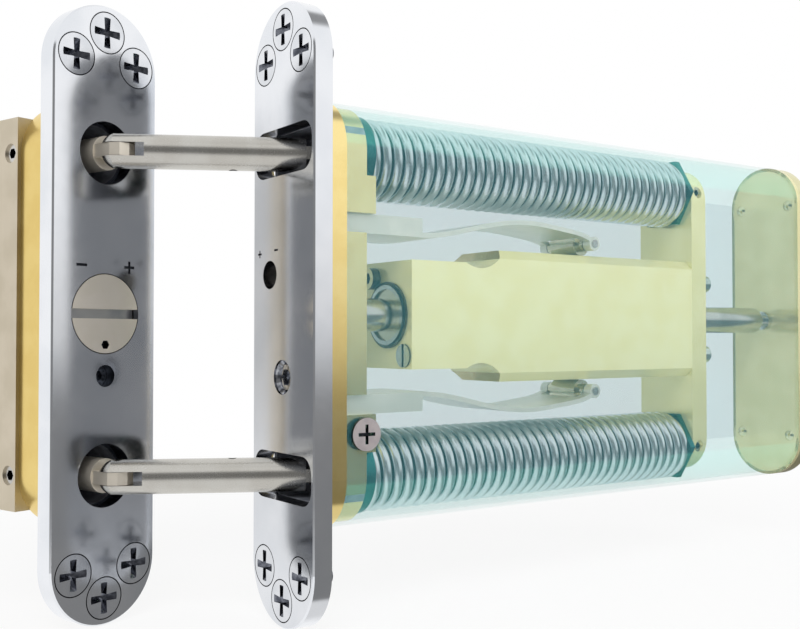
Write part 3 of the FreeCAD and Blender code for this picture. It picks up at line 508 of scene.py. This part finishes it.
def coil_spring(node, turns, start_turn, name):
    low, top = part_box(node)
    mean = 0.5 * (top[2] - low[2] - wire)
    height = 0.5 * (top[2] + low[2])
    start_x, end_x = spring_span[node]
    pitch = (end_x - start_x) / turns
    mesh = bmesh.new()
    rings = []
    count = int(round((turns + 2.0 * tail) * turn_steps))
    for k in range(count + 1):
        turned = k / turn_steps - tail
        angle = 2.0 * math.pi * (turned + start_turn)
        outward = Vector((0.0, -math.sin(angle), math.cos(angle)))
        centre = Vector((start_x + turned * pitch, 0.0, height)) + mean * outward
        round_turn = 2.0 * math.pi * mean
        run = Vector((pitch, -round_turn * math.cos(angle), -round_turn * math.sin(angle)))
        across = run.normalized().cross(outward)
        ring = []
        for j in range(wire_steps):
            around = 2.0 * math.pi * j / wire_steps
            edge = math.cos(around) * outward + math.sin(around) * across
            ring.append(mesh.verts.new(centre + 0.5 * wire * edge))
        rings.append(ring)
    for first, second in zip(rings, rings[1:]):
        for j in range(wire_steps):
            k = (j + 1) % wire_steps
            face = mesh.faces.new((first[j], first[k], second[k], second[j]))
            shaded = math.cos(2.0 * math.pi * (j + 0.5) / wire_steps) < shade_edge
            face.material_index = 1 if shaded else 0
    for x, side in ((start_x, -1.0), (end_x, 1.0)):
        everything = mesh.verts[:] + mesh.edges[:] + mesh.faces[:]
        bmesh.ops.bisect_plane(mesh, geom=everything, plane_co=(x, 0.0, 0.0), plane_no=(side, 0.0, 0.0),
                               clear_outer=True)
        open_edges = [edge for edge in mesh.edges if edge.is_boundary]
        bmesh.ops.holes_fill(mesh, edges=open_edges, sides=0)
    bmesh.ops.recalc_face_normals(mesh, faces=mesh.faces[:])
    for face in mesh.faces:
        face.smooth = len(face.verts) == 4
    data = bpy.data.meshes.new(name)
    mesh.to_mesh(data)
    mesh.free()
    spring = bpy.data.objects.new(name, data)
    scene.collection.objects.link(spring)
    data.materials.append(spring_steel)
    data.materials.append(coil_shade)
    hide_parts(node)
    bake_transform(spring)


spring_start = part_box("front_spring_seats")[1][0]
spring_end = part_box("rear_spring_seats")[0][0]
front_length = 64.9 * mm
spring_join = spring_start + front_length
front_turns = 18.5
rear_turns = 16.0
spring_span = {}
for side in ("upper", "lower"):
    spring_span[side + "_front_spring"] = (spring_start, spring_join)
    spring_span[side + "_rear_spring"] = (spring_join, spring_end)
    coil_spring(side + "_front_spring", front_turns, 0.0, side + "_front_coils")
    coil_spring(side + "_rear_spring", rear_turns, 0.5, side + "_rear_coils")


# A flat sheet of the studio
def plane(name, corners, material):
    data = bpy.data.meshes.new(name)
    data.from_pydata(corners, [], [(0, 1, 2, 3)])
    flat = bpy.data.objects.new(name, data)
    scene.collection.objects.link(flat)
    data.materials.append(material)
    return flat


# A factor of 1 for rays that see the background directly or through the clear casing
def sees_background(m):
    path = m.node("LightPath")
    return m.math("MAXIMUM", path.outputs["Is Camera Ray"], path.outputs["Is Transmission Ray"])


# The floor is white in the background and keeps a faint shadow near the closer. Polished metal shows the room
# instead of the floor.
floor_z = cad_box[0][2] - 0.4 * mm
floor_half = 6.0
floor_middle = (0.08, 0.0, floor_z)
floor_paint = Material("studio_floor")
diffuse = floor_paint.node("BsdfDiffuse")
diffuse.inputs["Color"].default_value = (0.85, 0.85, 0.85, 1.0)
white = floor_paint.node("Emission")
white.inputs["Color"].default_value = (1.0, 1.0, 1.0, 1.0)
coordinates = floor_paint.node("TexCoord")
spread = floor_paint.node("VectorMath", operation="DISTANCE")
spread.inputs[1].default_value = floor_middle
floor_paint.link(coordinates.outputs["Object"], spread.inputs[0])
shadow_inner = 0.15
shadow_outer = 0.45
near_whiteness = 0.88
whiteness = floor_paint.ramp(spread.outputs["Value"], shadow_inner, shadow_outer, near_whiteness, 1.0)
share = floor_paint.math("MULTIPLY", whiteness, sees_background(floor_paint))
seen = floor_paint.node("MixShader")
floor_paint.link(share, seen.inputs["Fac"])
floor_paint.link(diffuse.outputs["BSDF"], seen.inputs[1])
floor_paint.link(white.outputs["Emission"], seen.inputs[2])
floor_paint.link(seen.outputs["Shader"], floor_paint.output.inputs["Surface"])
studio_floor = plane("studio_floor", [(-floor_half, -floor_half, floor_z), (floor_half, -floor_half, floor_z),
                                      (floor_half, floor_half, floor_z), (-floor_half, floor_half, floor_z)],
                     floor_paint.material)
studio_floor.visible_glossy = False

# The world: white behind the closer and plain light for dull surfaces. Polished metal shows a pale room. Its
# right half has a dark floor and ceiling. Dark patches lie behind the camera above a bright one, and a grey
# patch with a bright one above and below it lies at the back.
world = bpy.data.worlds.new("studio_world")
scene.world = world
world.use_nodes = True
room = Nodes(world.node_tree)
background = world.node_tree.nodes["Background"]
background.inputs["Color"].default_value = (1.0, 1.0, 1.0, 1.0)
room_direction = room.node("TexCoord").outputs["Generated"]
height_split = room.node("SeparateXYZ")
room.link(room_direction, height_split.inputs["Vector"])
room_height = height_split.outputs["Z"]


def toward(turn, tilt):
    turn, tilt = math.radians(turn), math.radians(tilt)
    return (math.cos(tilt) * math.cos(turn), math.cos(tilt) * math.sin(turn), math.sin(tilt))


def facing(direction):
    dot = room.node("VectorMath", operation="DOT_PRODUCT")
    dot.inputs[1].default_value = direction
    room.link(room_direction, dot.inputs[0])
    return dot.outputs["Value"]


def toned(level, share, tone):
    mixed = room.node("Mix", data_type="FLOAT")
    room.link(share, mixed.inputs["Factor"])
    for socket, value in ((mixed.inputs[2], level), (mixed.inputs[3], tone)):
        if isinstance(value, float):
            socket.default_value = value
        else:
            room.link(value, socket)
    return mixed.outputs[0]


# A round patch of another level, fading out between two angles from its middle
def patch(level, turn, tilt, inner, outer, tone):
    edge = math.cos(math.radians(outer)), math.cos(math.radians(inner))
    return toned(level, room.ramp(facing(toward(turn, tilt)), *edge), tone)


right_half = room.ramp(facing(toward(-40.0, 0.0)), 0.05, 0.3)
right_level = room.ramp(room_height, 0.0, 0.16, 0.74, 1.0)
floor_band = room.math("MULTIPLY", room.ramp(room_height, -0.8, -0.74),
                       room.ramp(room_height, -0.07, 0.01, 1.0, 0.0))
right_level = toned(right_level, floor_band, 0.22)
right_level = toned(right_level, room.ramp(room_height, 0.8, 0.87), 0.3)
room_level = toned(1.0, right_half, right_level)
room_level = patch(room_level, -125.0, -50.0, inner=24.0, outer=38.0, tone=0.95)
for turn in (-102.0, -124.0, -146.0):
    room_level = patch(room_level, turn, 9.0, inner=18.0, outer=26.0, tone=0.24)
room_level = patch(room_level, 112.0, 2.0, inner=16.0, outer=26.0, tone=0.58)
room_level = patch(room_level, 119.0, -19.0, inner=5.0, outer=18.0, tone=0.9)
room_level = patch(room_level, 119.0, 20.0, inner=7.0, outer=12.0, tone=1.0)
room_path = room.node("LightPath")
dull_level = 0.55
seen_level = toned(dull_level, sees_background(room), 1.0)
room.link(toned(seen_level, room_path.outputs["Is Glossy Ray"], room_level), background.inputs["Strength"])


def area_lamp(name, place, target, size, power):
    light = bpy.data.lights.new(name, "AREA")
    light.shape = "RECTANGLE"
    light.size = size[0]
    light.size_y = size[1]
    light.energy = power
    lamp = bpy.data.objects.new(name, light)
    lamp.location = place
    lamp.rotation_euler = (Vector(target) - Vector(place)).to_track_quat("-Z", "Y").to_euler()
    lamp.visible_glossy = False
    scene.collection.objects.link(lamp)


area_lamp("key_lamp", place=(-0.5, -0.7, 0.75), target=(0.05, 0.0, 0.0), size=(0.7, 0.5), power=7.0)
area_lamp("fill_lamp", place=(0.8, -0.8, 0.5), target=(0.08, 0.0, 0.0), size=(0.5, 0.5), power=4.0)

# Camera at the photograph's angle
camera_data = bpy.data.cameras.new("photo_camera")
camera_data.lens = 46.97
camera_data.sensor_width = 36.0
camera_data.clip_start = 0.01
camera = bpy.data.objects.new("photo_camera", camera_data)
camera.location = (-0.12818, -0.23588, -0.00616)
camera.rotation_euler = (math.radians(91.27), 0.0, math.radians(-34.96))
scene.collection.objects.link(camera)
scene.camera = camera
